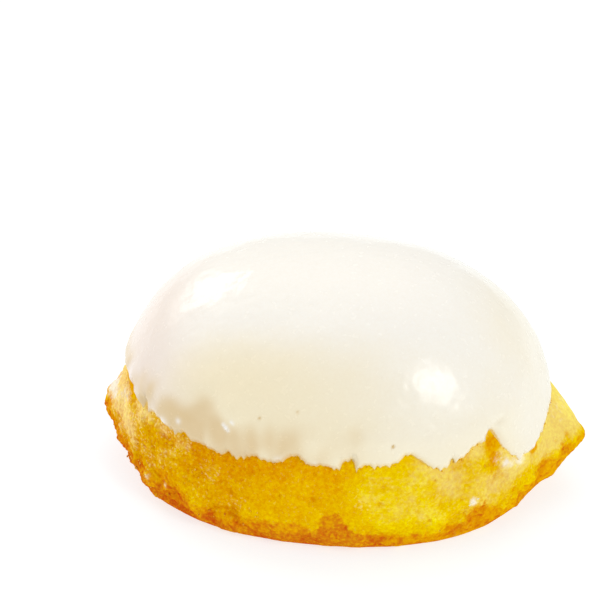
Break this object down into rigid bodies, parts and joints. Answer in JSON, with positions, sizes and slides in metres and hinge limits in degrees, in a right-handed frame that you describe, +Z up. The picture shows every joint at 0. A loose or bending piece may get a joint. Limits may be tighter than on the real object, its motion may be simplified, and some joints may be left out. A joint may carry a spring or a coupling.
{
  "type": "lemon cake",
  "caption": "Small lemon-shaped sponge cake with a tip at each end, under a thick glossy coat of white icing that leaves a band of bare sponge round the foot.",
  "frame": {"origin": "on the table, under the middle of the cake's length and width", "axes": "+X along the cake towards its longer tip, +Z up, -Y towards the side that is seen first"},
  "size_m": [0.0797, 0.0534, 0.0395],
  "materials": {
    "sponge": "golden baked crumb with a browner crust along the foot, matt",
    "icing": "thick white icing, faintly cream, smooth and softly glossy"
  },
  "bodies": {
    "root": {"sponge": "sponge", "icing": "icing"}
  },
  "joints": []
}
